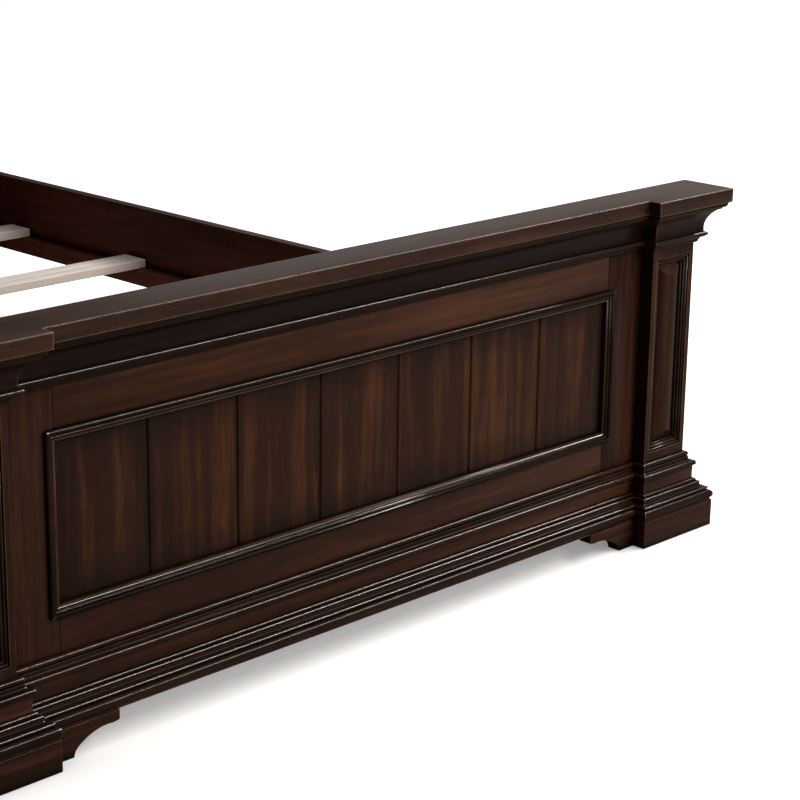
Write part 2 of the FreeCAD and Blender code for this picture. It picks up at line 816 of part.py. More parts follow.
for item in doc.Objects:
    if "Invalid" in item.State or "Error" in item.State:
        raise RuntimeError("%s did not build: %s" % (item.Label, item.State))
byLabel = {item.Label: item for item in doc.Objects}
for name in nodeNames:
    shape = byLabel[name].Shape
    if shape.isNull() or not shape.isValid():
        raise RuntimeError("%s has no valid shape" % name)
    if not shape.Solids:
        raise RuntimeError("%s has no solid" % name)
for name in nodeNames:
    byLabel[name].Shape.exportStep("parts/%s.step" % name)
print("%d nodes, length %.1f" % (len(nodeNames), size("overallLength")))
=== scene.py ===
import math

import bmesh
import bpy
from mathutils import Matrix, Vector


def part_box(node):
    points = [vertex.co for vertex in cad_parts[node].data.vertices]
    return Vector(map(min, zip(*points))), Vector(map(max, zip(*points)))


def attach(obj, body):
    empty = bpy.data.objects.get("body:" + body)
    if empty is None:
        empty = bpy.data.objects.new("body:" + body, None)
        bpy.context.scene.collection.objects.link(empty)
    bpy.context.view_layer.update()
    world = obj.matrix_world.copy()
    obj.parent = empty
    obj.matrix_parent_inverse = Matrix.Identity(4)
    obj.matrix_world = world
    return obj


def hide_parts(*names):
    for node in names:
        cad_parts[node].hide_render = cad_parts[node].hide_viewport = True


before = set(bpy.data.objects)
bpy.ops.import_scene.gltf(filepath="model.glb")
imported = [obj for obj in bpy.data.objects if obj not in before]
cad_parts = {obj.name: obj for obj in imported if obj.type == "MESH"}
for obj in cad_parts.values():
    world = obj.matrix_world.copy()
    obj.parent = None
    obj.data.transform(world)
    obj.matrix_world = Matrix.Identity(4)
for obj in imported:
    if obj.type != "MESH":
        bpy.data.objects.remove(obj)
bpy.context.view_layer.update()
print("frame loaded:", len(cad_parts), "pieces")

# the photograph's own viewpoint, in metres and degrees
photoCamera = {
    "place": (-2.2911, -3.4025, 1.3779),
    "pan": 45.43,      # from +Y towards +X
    "tilt": 16.61,     # below the horizon
    "roll": -0.83,
    "focal": 2155.66,  # in pixels of the picture
    "picture": 800,    # the picture's width in pixels
    "sensorMm": 36.0,
    "farthest": 60,    # metres
}


# stands the camera where the photograph was taken from
def placeCamera(view):
    data = bpy.data.cameras.new("photoCamera")
    data.sensor_width = view["sensorMm"]
    data.lens = view["focal"] / view["picture"] * data.sensor_width
    data.clip_end = view["farthest"]
    camera = bpy.data.objects.new("photoCamera", data)
    bpy.context.scene.collection.objects.link(camera)
    turn = Matrix.Rotation(-math.radians(view["pan"]), 4, "Z")
    lean = Matrix.Rotation(math.radians(90 - view["tilt"]), 4, "X")
    roll = Matrix.Rotation(-math.radians(view["roll"]), 4, "Z")
    camera.matrix_world = Matrix.Translation(view["place"]) @ turn @ lean @ roll
    bpy.context.scene.camera = camera


placeCamera(photoCamera)
print("camera placed")


# an sRGB hex colour as the linear values that shaders take
def linear(hexColour):
    channels = [int(hexColour[i:i + 2], 16) / 255 for i in (1, 3, 5)]
    return [c / 12.92 if c <= 0.04045 else ((c + 0.055) / 1.055) ** 2.4 for c in channels] + [1.0]


# the scale of a pattern whose marks are this wide: a mark fills about a third of its cell
def markScale(mm):
    return 1000 / mm / 3


# adds a node, sets its options, and links each input to a socket or gives it a value
def addNode(tree, kind, options=None, inputs=None):
    node = tree.nodes.new("ShaderNode" + kind)
    for name, value in (options or {}).items():
        setattr(node, name, value)
    for name, value in (inputs or {}).items():
        if isinstance(value, bpy.types.NodeSocket):
            tree.links.new(value, node.inputs[name])
        else:
            node.inputs[name].default_value = value
    return node


# sets a colour ramp's stops from pairs of place and hex colour
def rampStops(node, stops):
    ramp = node.color_ramp
    while len(ramp.elements) < len(stops):
        ramp.elements.new(0.5)
    for element, (place, colour) in zip(ramp.elements, stops):
        element.position = place
        element.color = linear(colour)


# a material with nothing in it but a shader that is linked to the output
def startMaterial(name):
    material = bpy.data.materials.new(name)
    material.use_nodes = True
    tree = material.node_tree
    tree.nodes.clear()
    shader = addNode(tree, "BsdfPrincipled")
    addNode(tree, "OutputMaterial", None, {"Surface": shader.outputs["BSDF"]})
    return material, tree, shader


# turns that lay the grain, which a pattern has along X, along each axis, in degrees
grainTurns = {"X": (0, 0, 0), "Y": (0, 0, 90), "Z": (0, 90, 0)}


# where a wood pattern is read: turned to the grain, and shifted so that no two pieces match
def grainPlace(tree, place, piece, grain, finish):
    turned = addNode(tree, "Mapping", None, {
        "Vector": place.outputs["Object"],
        "Rotation": [math.radians(turn) for turn in grainTurns[grain]]})
    shift = addNode(tree, "VectorMath", {"operation": "SCALE"}, {
        0: finish["pieceShift"], "Scale": piece.outputs["Random"]})
    return addNode(tree, "VectorMath", {"operation": "ADD"}, {
        0: turned.outputs[0], 1: shift.outputs[0]})


# Hardwood with an espresso wipe stain, a dark glaze and painted shade in its corners and a satin
# lacquer:
# deep brown streaked along the grain, nearly black in the hollows, with fine bright crowns of
# lacquer, wear and painted highlight.
espressoFinish = {
    "deep": "#1A0E08",              # pores and late wood
    "body": "#2F1B11",
    "warm": "#4D2C19",              # early wood, where the stain took less
    "stainStops": (0.36, 0.53, 0.70),  # where these three stand in the figure
    "pieceShift": (1.7, 3.1, 2.3),  # metres
    "pieceTone": 0.04,              # how far the pieces differ in tone
    "streakMm": 5.0,                # width of the fine streaks
    "bandMm": 38.0,                 # width of the broad bands of colour
    "banding": 0.40,                # their share of the figure
    "stretch": 22.0,                # how much longer than wide both are
    "bendMm": 37.0,                 # size of the bends in the grain
    "bendReachMm": 12.0,            # how far these carry it aside
    "mottleMm": 11.1,               # thickness of the shimmering bars across the grain
    "mottleSquash": 0.22,           # their thickness over their length
    "mottling": 0.07,               # their share of the figure
    "poreMm": 0.9,                  # drawn coarser than the real 0.3 mm so that they show
    "poreDepthMm": 0.4,
    "poreRelief": 0.22,
    "rubbed": "#7E5636",            # worn edges and painted highlight
    "rubbing": 0.75,                # how far an edge goes to the pale colour of wear and painted highlight
    "wearReachMm": 1.8,             # how far wear and painted highlight reach from an arris
    "wearSpan": (0.93, 0.58),       # inside occlusion from no wear and highlight to full
    "patchSpan": (0.35, 0.65),      # mottle from the least to the most pale patches
    "patchLeast": 0.45,
    "edgeMm": 1.2,                  # radius of the softened edges
    # glaze, also the colour laid as painted shade
    "glaze": "#090403",
    "glazeReachMm": 24.0,           # how far glaze and painted shade reach from a corner
    "glazeMost": 0.92,
    "glazeSpan": (0.40, 0.92),      # occlusion from full glaze and painted shade to none
    "returnShade": 0.75,            # how far the inner returns go to the glaze colour, as painted shade
    "returnSpan": (0.70, 0.95),     # sideways part of the normal, from none to full
    "dentMm": 0.0,                  # dents on front faces, for an aged look
    "dentSpan": (0.12, 0.34),       # from a dent's floor to its rim, in cells
    "dentGlaze": 0.55,              # how far dents go to the glaze
    "dentDepthMm": 1.2,
    "dentRelief": 0.9,
    "groupMm": 47.6,                # dents lie in groups of about this size
    "groupSpan": (0.52, 0.58),      # noise from no dents to all
    "frontSpan": (-0.15, -0.45),    # forward part of the normal, from none to full
    "roughness": 0.42,
    "roughSpan": (-0.07, 0.10),     # the bands' swing about it
    "woodIor": 1.5,
    "sheen": 0.02,                  # specular level of the wood under its lacquer
    "coat": 0.06,                   # thin lacquer on the flats, rubbed out to satin
    "crownCoat": 0.30,              # and on crowns and arrises
    "crownSpan": (0.97, 0.84),      # inside occlusion from flat to crown
    "upSpan": (0.0, 0.45),          # upward part of the normal, from unpolished to polished
    "upLeast": 0.04,                # polish on sides and undersides
    "dullSpan": (0.0, 0.8),         # glaze and painted shade from bright to dull
    "dullLeast": 0.1,               # lacquer left where it is dull
    "coatRoughness": 0.15,
    "lacquerIor": 1.5,
}
# Inner returns of the breakfronts lie nearer the bed's middle than this, in metres.
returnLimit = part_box("footboard_post_right")[0].x + 0.003


# the stained figure of maple: fine streaks, broad bands, shimmer across them, and pores
def stainedFigure(tree, piece, moved, finish):
    along = addNode(tree, "Mapping", None, {
        "Vector": moved.outputs[0], "Scale": (1 / finish["stretch"], 1, 1)})
    bends = addNode(tree, "TexNoise", None, {
        "Vector": moved.outputs[0], "Scale": markScale(finish["bendMm"]), "Detail": 2.0})
    aside = finish["bendReachMm"] / 1000
    waver = addNode(tree, "VectorMath", {"operation": "MULTIPLY_ADD"}, {
        0: bends.outputs["Color"], 1: (0.0, aside, aside), 2: along.outputs[0]})
    streaks = addNode(tree, "TexNoise", None, {
        "Vector": waver.outputs[0], "Scale": markScale(finish["streakMm"]),
        "Detail": 7.0, "Roughness": 0.62})
    bands = addNode(tree, "TexNoise", None, {
        "Vector": waver.outputs[0], "Scale": markScale(finish["bandMm"]),
        "Detail": 3.0, "Roughness": 0.5})
    squash = finish["mottleSquash"]
    across = addNode(tree, "Mapping", None, {
        "Vector": moved.outputs[0], "Scale": (1.0, squash, squash)})
    mottle = addNode(tree, "TexNoise", None, {
        "Vector": across.outputs[0], "Scale": markScale(finish["mottleMm"]), "Detail": 2.0})
    pores = addNode(tree, "TexNoise", None, {
        "Vector": along.outputs[0], "Scale": markScale(finish["poreMm"]),
        "Detail": 2.0, "Roughness": 0.5})
    figure = addNode(tree, "Mix", {"data_type": "FLOAT"}, {
        "Factor": finish["banding"], "A": streaks.outputs["Fac"], "B": bands.outputs["Fac"]})
    shimmer = addNode(tree, "Mix", {"data_type": "FLOAT"}, {
        "Factor": finish["mottling"], "A": figure.outputs[0], "B": mottle.outputs["Fac"]})
    tone = addNode(tree, "Math", {"operation": "MULTIPLY_ADD"}, {
        0: piece.outputs["Random"], 1: finish["pieceTone"], 2: shimmer.outputs[0]})
    stain = addNode(tree, "ValToRGB", None, {"Fac": tone.outputs[0]})
    rampStops(stain, list(zip(finish["stainStops"],
                              (finish["deep"], finish["body"], finish["warm"]))))
    return stain.outputs["Color"], bands, mottle, pores


# crowns and arrises paler, unevenly, by wear and painted highlight: there the wood is thin under
# the surface
def wornAndHighlitCrowns(tree, colour, thin, mottle, finish):
    # pale crowns of wear and painted highlight, where inside occlusion is low
    paleCrown = addNode(tree, "MapRange", None, {
        "Value": thin.outputs["AO"], "From Min": finish["wearSpan"][0],
        "From Max": finish["wearSpan"][1], "To Min": 0.0, "To Max": 1.0})
    patchy = addNode(tree, "MapRange", None, {
        "Value": mottle.outputs["Fac"], "From Min": finish["patchSpan"][0],
        "From Max": finish["patchSpan"][1], "To Min": finish["patchLeast"], "To Max": 1.0})
    wear = addNode(tree, "Math", {"operation": "MULTIPLY"}, {
        0: paleCrown.outputs[0], 1: patchy.outputs[0]})
    rubbed = addNode(tree, "Math", {"operation": "MULTIPLY"}, {
        0: wear.outputs[0], 1: finish["rubbing"]})
    return addNode(tree, "Mix", {"data_type": "RGBA"}, {
        "Factor": rubbed.outputs[0], "A": colour, "B": linear(finish["rubbed"])}).outputs["Result"]


# glaze stays in corners and hollows, where a cloth can't reach it, and painted shade darkens them
# too; the inner returns of the breakfronts, facing sideways, take painted shade in the glaze
# colour
def glazeAndShadeInHollows(tree, colour, place, facing, finish):
    hollow = addNode(tree, "AmbientOcclusion", {"samples": 8}, {
        "Distance": finish["glazeReachMm"] / 1000})
    # glaze and painted shade where occlusion is low
    cornerGlazeAndShade = addNode(tree, "MapRange", {"interpolation_type": "SMOOTHSTEP"}, {
        "Value": hollow.outputs["AO"], "From Min": finish["glazeSpan"][0],
        "From Max": finish["glazeSpan"][1], "To Min": finish["glazeMost"], "To Max": 0.0})
    inner = addNode(tree, "SeparateXYZ", None, {0: place.outputs["Object"]})
    outward = addNode(tree, "Math", {"operation": "ABSOLUTE"}, {0: inner.outputs["X"]})
    within = addNode(tree, "Math", {"operation": "LESS_THAN"}, {
        0: outward.outputs[0], 1: returnLimit})
    sideways = addNode(tree, "Math", {"operation": "ABSOLUTE"}, {0: facing.outputs["X"]})
    # painted shade on the sideways faces of the inner returns
    returned = addNode(tree, "MapRange", None, {
        "Value": sideways.outputs[0], "From Min": finish["returnSpan"][0],
        "From Max": finish["returnSpan"][1], "To Min": 0.0, "To Max": finish["returnShade"]})
    paintedReturnShade = addNode(tree, "Math", {"operation": "MULTIPLY"}, {
        0: returned.outputs[0], 1: within.outputs[0]})
    glazeAndShade = addNode(tree, "Math", {"operation": "MAXIMUM"}, {
        0: cornerGlazeAndShade.outputs[0], 1: paintedReturnShade.outputs[0]})
    colour = addNode(tree, "Mix", {"data_type": "RGBA"}, {
        "Factor": glazeAndShade.outputs[0], "A": colour, "B": linear(finish["glaze"])}).outputs["Result"]
    return colour, glazeAndShade


# dents gathered in places along the front, with glaze left in them
def dentedFront(tree, colour, moved, facing, softened, finish):
    cells = addNode(tree, "TexVoronoi", None, {
        "Vector": moved.outputs[0], "Scale": markScale(finish["dentMm"])})
    struck = addNode(tree, "MapRange", {"interpolation_type": "SMOOTHSTEP"}, {
        "Value": cells.outputs["Distance"], "From Min": finish["dentSpan"][0],
        "From Max": finish["dentSpan"][1], "To Min": 1.0, "To Max": 0.0})
    groups = addNode(tree, "TexNoise", None, {
        "Vector": moved.outputs[0], "Scale": markScale(finish["groupMm"]), "Detail": 3.0})
    gathered = addNode(tree, "MapRange", None, {
        "Value": groups.outputs["Fac"], "From Min": finish["groupSpan"][0],
        "From Max": finish["groupSpan"][1], "To Min": 0.0, "To Max": 1.0})
    front = addNode(tree, "MapRange", None, {
        "Value": facing.outputs["Y"], "From Min": finish["frontSpan"][0],
        "From Max": finish["frontSpan"][1], "To Min": 0.0, "To Max": 1.0})
    for share in (gathered, front):
        struck = addNode(tree, "Math", {"operation": "MULTIPLY"}, {
            0: struck.outputs[0], 1: share.outputs[0]})
    filled = addNode(tree, "Math", {"operation": "MULTIPLY"}, {
        0: struck.outputs[0], 1: finish["dentGlaze"]})
    colour = addNode(tree, "Mix", {"data_type": "RGBA"}, {
        "Factor": filled.outputs[0], "A": colour, "B": linear(finish["glaze"])}).outputs["Result"]
    skin = addNode(tree, "Bump", {"invert": True}, {
        "Height": struck.outputs[0], "Normal": softened.outputs["Normal"],
        "Strength": finish["dentRelief"], "Distance": finish["dentDepthMm"] / 1000})
    return colour, skin


# crowns are polished by the cloth, undersides are missed by it, and glaze dries dull, so the
# lacquer thins where glaze and painted shade lie
def lacquerWeight(tree, thin, surface, glazeAndShade, finish):
    crown = addNode(tree, "MapRange", None, {
        "Value": thin.outputs["AO"], "From Min": finish["crownSpan"][0],
        "From Max": finish["crownSpan"][1], "To Min": 0.0, "To Max": 1.0})
    lying = addNode(tree, "SeparateXYZ", None, {0: surface.outputs["Normal"]})
    reached = addNode(tree, "MapRange", None, {
        "Value": lying.outputs["Z"], "From Min": finish["upSpan"][0],
        "From Max": finish["upSpan"][1], "To Min": finish["upLeast"], "To Max": 1.0})
    wiped = addNode(tree, "Math", {"operation": "MULTIPLY"}, {
        0: crown.outputs[0], 1: reached.outputs[0]})
    polish = addNode(tree, "MapRange", None, {
        "Value": wiped.outputs[0], "To Min": finish["coat"], "To Max": finish["crownCoat"]})
    dulled = addNode(tree, "MapRange", None, {
        "Value": glazeAndShade.outputs[0], "From Min": finish["dullSpan"][0],
        "From Max": finish["dullSpan"][1], "To Min": 1.0, "To Max": finish["dullLeast"]})
    return addNode(tree, "Math", {"operation": "MULTIPLY"}, {
        0: polish.outputs[0], 1: dulled.outputs[0]})


# stained, glazed and lacquered maple with its grain along one axis
def espressoWood(name, grain, finish, shading=None):
    material, tree, shader = startMaterial(name)
    place = addNode(tree, "TexCoord")
    piece = addNode(tree, "ObjectInfo")
    moved = grainPlace(tree, place, piece, grain, finish)
    surface = addNode(tree, "NewGeometry")
    facing = addNode(tree, "SeparateXYZ", None, {0: surface.outputs["True Normal"]})
    thin = addNode(tree, "AmbientOcclusion", {"samples": 8, "inside": True}, {
        "Distance": finish["wearReachMm"] / 1000})
    skin = addNode(tree, "Bevel", {"samples": 6}, {"Radius": finish["edgeMm"] / 1000})
    colour, bands, mottle, pores = stainedFigure(tree, piece, moved, finish)
    # pale crowns of wear and painted highlight
    colour = wornAndHighlitCrowns(tree, colour, thin, mottle, finish)
    # glaze and painted shade in hollows, and painted shade on the inner returns
    colour, glazeAndShade = glazeAndShadeInHollows(tree, colour, place, facing, finish)
    if shading:
        # sprayed toner and painted shade on the planks
        colour = tonerAndPaintedShade(tree, colour, place, shading, finish)
    if finish["dentMm"]:
        colour, skin = dentedFront(tree, colour, moved, facing, skin, finish)
    lacquer = lacquerWeight(tree, thin, surface, glazeAndShade, finish)
    relief = addNode(tree, "Bump", None, {
        "Height": pores.outputs["Fac"], "Normal": skin.outputs["Normal"],
        "Strength": finish["poreRelief"], "Distance": finish["poreDepthMm"] / 1000})
    gloss = addNode(tree, "MapRange", None, {
        "Value": bands.outputs["Fac"], "To Min": finish["roughness"] + finish["roughSpan"][0],
        "To Max": finish["roughness"] + finish["roughSpan"][1]})
    tree.links.new(colour, shader.inputs["Base Color"])
    tree.links.new(gloss.outputs[0], shader.inputs["Roughness"])
    tree.links.new(relief.outputs[0], shader.inputs["Normal"])
    tree.links.new(lacquer.outputs[0], shader.inputs["Coat Weight"])
    tree.links.new(skin.outputs["Normal"], shader.inputs["Coat Normal"])
    shader.inputs["IOR"].default_value = finish["woodIor"]
    shader.inputs["Specular IOR Level"].default_value = finish["sheen"]
    shader.inputs["Coat Roughness"].default_value = finish["coatRoughness"]
    shader.inputs["Coat IOR"].default_value = finish["lacquerIor"]
    return material


# the sprayed toner and painted shade on the planks
plankLook = {
    "planks": 7,
    "fade": 0.085,        # metres from the moulding to where its shade ends
    "full": 0.018,        # and to where it is full
    "rimShade": 0.55,
    "grooveFade": 0.016,  # the same for each groove
    "grooveFull": 0.001,
    "grooveShade": 0.40,
    "cornerRound": 0.03,  # metres over which two shades blend in a corner
    "cloudMm": 15.15,     # size of the clouds that make the shade uneven
    "cloudReach": 0.035,  # and how far they move it, in metres
}


# where the planks of one end show, read from their nodes
def plankShading(end):
    boxes = [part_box(name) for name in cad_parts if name.startswith(end + "_plank")]
    half = max(box[1].x for box in boxes)
    return dict(plankLook, half=half, bottom=min(box[0].z for box in boxes),
                top=max(box[1].z for box in boxes), halfPlank=half / plankLook["planks"])


# darkens planks towards the moulding and towards each groove: sprayed toner and painted shade
def tonerAndPaintedShade(tree, colour, place, shading, finish):
    axes = addNode(tree, "SeparateXYZ", None, {0: place.outputs["Object"]})
    reach = addNode(tree, "Math", {"operation": "ABSOLUTE"}, {0: axes.outputs["X"]})
    sideways = addNode(tree, "Math", {"operation": "SUBTRACT"}, {
        0: shading["half"], 1: reach.outputs[0]})
    above = addNode(tree, "Math", {"operation": "SUBTRACT"}, {
        0: axes.outputs["Z"], 1: shading["bottom"]})
    nearest = addNode(tree, "Math", {"operation": "SUBTRACT"}, {
        0: shading["top"], 1: axes.outputs["Z"]})
    for other in (above, sideways):
        nearest = addNode(tree, "Math", {"operation": "SMOOTH_MIN"}, {
            0: nearest.outputs[0], 1: other.outputs[0], 2: shading["cornerRound"]})
    cloudy = addNode(tree, "TexNoise", None, {
        "Vector": place.outputs["Object"], "Scale": markScale(shading["cloudMm"]), "Detail": 2.0})
    uneven = addNode(tree, "Math", {"operation": "MULTIPLY_ADD"}, {
        0: cloudy.outputs["Fac"], 1: shading["cloudReach"], 2: nearest.outputs[0]})
    # toner and painted shade towards the moulding
    rim = addNode(tree, "MapRange", {"interpolation_type": "SMOOTHSTEP"}, {
        "Value": uneven.outputs[0], "From Min": shading["full"], "From Max": shading["fade"],
        "To Min": shading["rimShade"], "To Max": 0.0})
    fromMiddle = addNode(tree, "Math", {"operation": "PINGPONG"}, {
        0: axes.outputs["X"], 1: shading["halfPlank"]})
    # toner and painted shade towards each groove
    groove = addNode(tree, "MapRange", {"interpolation_type": "SMOOTHSTEP"}, {
        "Value": fromMiddle.outputs[0], "From Min": shading["halfPlank"] - shading["grooveFade"],
        "From Max": shading["halfPlank"] - shading["grooveFull"],
        "To Min": 0.0, "To Max": shading["grooveShade"]})
    shade = addNode(tree, "Math", {"operation": "MAXIMUM"}, {
        0: rim.outputs[0], 1: groove.outputs[0]})
    return addNode(tree, "Mix", {"data_type": "RGBA"}, {
        "Factor": shade.outputs[0], "A": colour, "B": linear(finish["glaze"])}).outputs["Result"]


# Softwood planed on its faces, sawn on its edges and left bare: pale, dry and dull, with long
# soft streaks and greyer sides, partly sawn wood and partly painted shade.
bareFinish = {
    "pale": "#FCF5F0",
    "grain": "#F3EAE4",
    "late": "#DFD3CA",
    "ringStops": (0.34, 0.48, 0.62),  # where late, grain and pale stand in the rings
    "pieceShift": (0.9, 2.1, 1.3),    # metres
    "streakMm": 5.0,                  # width of the streaks
    "squash": 0.035,                  # their width over their length
    "sawn": "#9A8A7F",                # the sawn edges, with painted shade on every side that doesn't face up or down
    "sawing": 0.80,                   # how far they go to that colour
    "sawnSpan": (0.3, 0.8),           # upward part of the normal, from sawn and shaded to planed
    "edgeMm": 1.5,
    "reliefMm": 0.5,
    "relief": 0.3,
    "roughness": 0.72,
}


# unfinished slat wood with its grain along one axis
def bareSoftwood(name, grain, finish):
    material, tree, shader = startMaterial(name)
    place = addNode(tree, "TexCoord")
    piece = addNode(tree, "ObjectInfo")
    moved = grainPlace(tree, place, piece, grain, finish)
    along = addNode(tree, "Mapping", None, {
        "Vector": moved.outputs[0], "Scale": (finish["squash"], 1, 1)})
    rings = addNode(tree, "TexNoise", None, {
        "Vector": along.outputs[0], "Scale": markScale(finish["streakMm"]),
        "Detail": 4.0, "Roughness": 0.6})
    colour = addNode(tree, "ValToRGB", None, {"Fac": rings.outputs["Fac"]})
    rampStops(colour, list(zip(finish["ringStops"],
                               (finish["late"], finish["grain"], finish["pale"]))))
    surface = addNode(tree, "NewGeometry")
    facing = addNode(tree, "SeparateXYZ", None, {0: surface.outputs["True Normal"]})
    # sides that don't face up or down are greyed: sawn wood and painted shade
    planed = addNode(tree, "Math", {"operation": "ABSOLUTE"}, {0: facing.outputs["Z"]})
    edge = addNode(tree, "MapRange", None, {
        "Value": planed.outputs[0], "From Min": finish["sawnSpan"][0],
        "From Max": finish["sawnSpan"][1], "To Min": finish["sawing"], "To Max": 0.0})
    colour = addNode(tree, "Mix", {"data_type": "RGBA"}, {
        "Factor": edge.outputs[0], "A": colour.outputs["Color"], "B": linear(finish["sawn"])})
    softened = addNode(tree, "Bevel", {"samples": 4}, {"Radius": finish["edgeMm"] / 1000})
    relief = addNode(tree, "Bump", None, {
        "Height": rings.outputs["Fac"], "Normal": softened.outputs["Normal"],
        "Strength": finish["relief"], "Distance": finish["reliefMm"] / 1000})
    tree.links.new(colour.outputs["Result"], shader.inputs["Base Color"])
    tree.links.new(relief.outputs[0], shader.inputs["Normal"])
    shader.inputs["Roughness"].default_value = finish["roughness"]
    return material


# Pressed steel with bright zinc plating: a cool grey that is a little cloudy.
zincFinish = {
    "bright": "#B9BBBD",
    "cloud": "#8F9294",
    "cloudStops": (0.35, 0.65),
    "spangleMm": 6.0,             # width of a zinc crystal
    "spangling": 0.35,            # the crystals' share of the pattern
    "cloudMm": 3.7,
    "roughness": (0.28, 0.46),    # least and most
    "edgeMm": 0.6,
}


# plated plates and bolts
def zincPlatedSteel(name, finish):
    material, tree, shader = startMaterial(name)
    place = addNode(tree, "TexCoord")
    spangle = addNode(tree, "TexVoronoi", None, {
        "Vector": place.outputs["Object"], "Scale": 1000 / finish["spangleMm"]})
    cloud = addNode(tree, "TexNoise", None, {
        "Vector": place.outputs["Object"], "Scale": markScale(finish["cloudMm"]), "Detail": 3.0})
    blend = addNode(tree, "Mix", {"data_type": "FLOAT"}, {
        "Factor": finish["spangling"], "A": cloud.outputs["Fac"],
        "B": spangle.outputs["Distance"]})
    colour = addNode(tree, "ValToRGB", None, {"Fac": blend.outputs[0]})
    rampStops(colour, list(zip(finish["cloudStops"], (finish["cloud"], finish["bright"]))))
    gloss = addNode(tree, "MapRange", None, {
        "Value": blend.outputs[0], "To Min": finish["roughness"][0],
        "To Max": finish["roughness"][1]})
    softened = addNode(tree, "Bevel", {"samples": 4}, {"Radius": finish["edgeMm"] / 1000})
    tree.links.new(colour.outputs["Color"], shader.inputs["Base Color"])
    tree.links.new(gloss.outputs[0], shader.inputs["Roughness"])
    tree.links.new(softened.outputs["Normal"], shader.inputs["Normal"])
    shader.inputs["Metallic"].default_value = 1.0
    return material


# Mouldings soak up more stain in their cut profile and hold more glaze and painted shade, so they
# read darker.
mouldedFinish = dict(
    espressoFinish, deep="#0E0704", body="#1A0D08", warm="#2C180D",
    glazeReachMm=16.0, glazeMost=0.95, edgeMm=0.7, wearReachMm=3.5, rubbing=0.22,
    coat=0.03, crownCoat=1.0, lacquerIor=1.7, coatRoughness=0.12)
# Trims are small, so their glaze and painted shade lie in narrow lines between the beads.
trimFinish = dict(
    mouldedFinish, body="#1D1009", warm="#301B10", glazeReachMm=6.0, edgeMm=0.4,
    wearReachMm=2.2, rubbing=0.16)
# Upright trims have pale, satin crowns: partly wear from wiping across their grain, partly painted
# highlight.
uprightTrimFinish = dict(trimFinish, rubbed="#8F6748", rubbing=0.95, crownCoat=0.15)
# The posts' small mouldings are only greyed at their crowns: wear and painted highlight.
postTrimFinish = dict(trimFinish, rubbed="#7B6658", rubbing=0.40, crownCoat=0.5)
# Planks were picked for their stripe; they read lighter in the middle, away from the sprayed toner
# and painted shade at their edges.
plankFinish = dict(
    espressoFinish, body="#29160D", warm="#482A17", streakMm=8.5, banding=0.25)
# Framed boards are sanded flush with each other, so their arrises aren't rubbed.
flushFinish = dict(espressoFinish, rubbing=0.0, crownCoat=0.06, warm="#482919")
# The line where two flush boards meet is filled with glaze and has no lacquer.
jointFinish = dict(
    flushFinish, deep="#080402", body="#0C0603", warm="#120A06", coat=0.0, crownCoat=0.0)
# Posts took more stain than the boards between them.
postFinish = dict(espressoFinish, deep="#160B06", body="#27160D", warm="#402413")
# Side rails took a redder stain, in broader bands.
railFinish = dict(
    espressoFinish, deep="#241009", body="#431F15", warm="#62331F", coat=0.02,
    crownCoat=0.15, bandMm=80.0, banding=0.65, stretch=9.0, glazeMost=0.80)
# The cap's face was rubbed out to a higher sheen, and its front is dented; its paler grey arrises
# are wear and painted highlight.
capFinish = dict(
    espressoFinish, deep="#180D07", body="#2C190F", warm="#432618", coat=0.12,
    crownCoat=0.80, coatRoughness=0.30, rubbed="#8F7868", wearReachMm=3.0, rubbing=0.60,
    dentMm=2.6)
# Feet are low and seldom wiped, so they stay dark.
footFinish = dict(
    espressoFinish, deep="#150C07", body="#25140C", warm="#3A2014", banding=0.25)

boardWood = espressoWood("espressoMapleX", "X", espressoFinish)
postWood = espressoWood("espressoMapleZ", "Z", postFinish)
railWood = espressoWood("redEspressoMapleY", "Y", railFinish)
flushWood = {grain: espressoWood("flushEspressoMaple" + grain, grain, flushFinish)
             for grain in "XZ"}
moulded = espressoWood("glazedMouldingX", "X", mouldedFinish)
trim = espressoWood("glazedTrimX", "X", trimFinish)
uprightTrim = espressoWood("rubbedTrimZ", "Z", uprightTrimFinish)
capWood = espressoWood("polishedCapX", "X", capFinish)
postTrim = espressoWood("greyedTrimZ", "Z", postTrimFinish)
footWood = espressoWood("darkEspressoMapleX", "X", footFinish)
plankWood = {end: espressoWood("espressoPlank_" + end, "Z", plankFinish, plankShading(end))
             for end in ("footboard", "headboard")}
jointLine = espressoWood("glazedJointLine", "X", jointFinish)
slatWood = bareSoftwood("bareSpruceX", "X", bareFinish)
legWood = bareSoftwood("bareSpruceZ", "Z", bareFinish)
zincSteel = zincPlatedSteel("zincPlatedSteel", zincFinish)
print("materials made")

fastenings = ("rail_hook_plates", "post_slot_plates", "cross_rail_bolts")
# the finish of every other piece, by the first of these words that its name has
finishWords = {
    "slat_centre_legs": legWood,
    "side_rail": railWood,
    "slat_cleat": railWood,
    "board_cap": capWood,
    "foot_block": footWood,
    "bracket_foot": footWood,
    "board_stile": flushWood["Z"],
    "top_rail": flushWood["X"],
    "bottom_rail": flushWood["X"],
    "slat_": slatWood,
    "panel_moulding": trim,
    "post_mouldings": trim,
    "cornice": moulded,
    "surbase": moulded,
    "moulding": moulded,
    "_post_": postWood,
    "split_columns": postWood,
}


# which finish a piece takes
def finishFor(name):
    if name in fastenings:
        return zincSteel
    if "_plank" in name:
        return plankWood[name.split("_")[0]]
    return next((finish for word, finish in finishWords.items() if word in name), boardWood)


for name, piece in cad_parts.items():
    finish = finishFor(name)
    if not piece.data.materials:
        piece.data.materials.append(finish)
    for slot in piece.material_slots:
        slot.material = finish
print("finishes given")

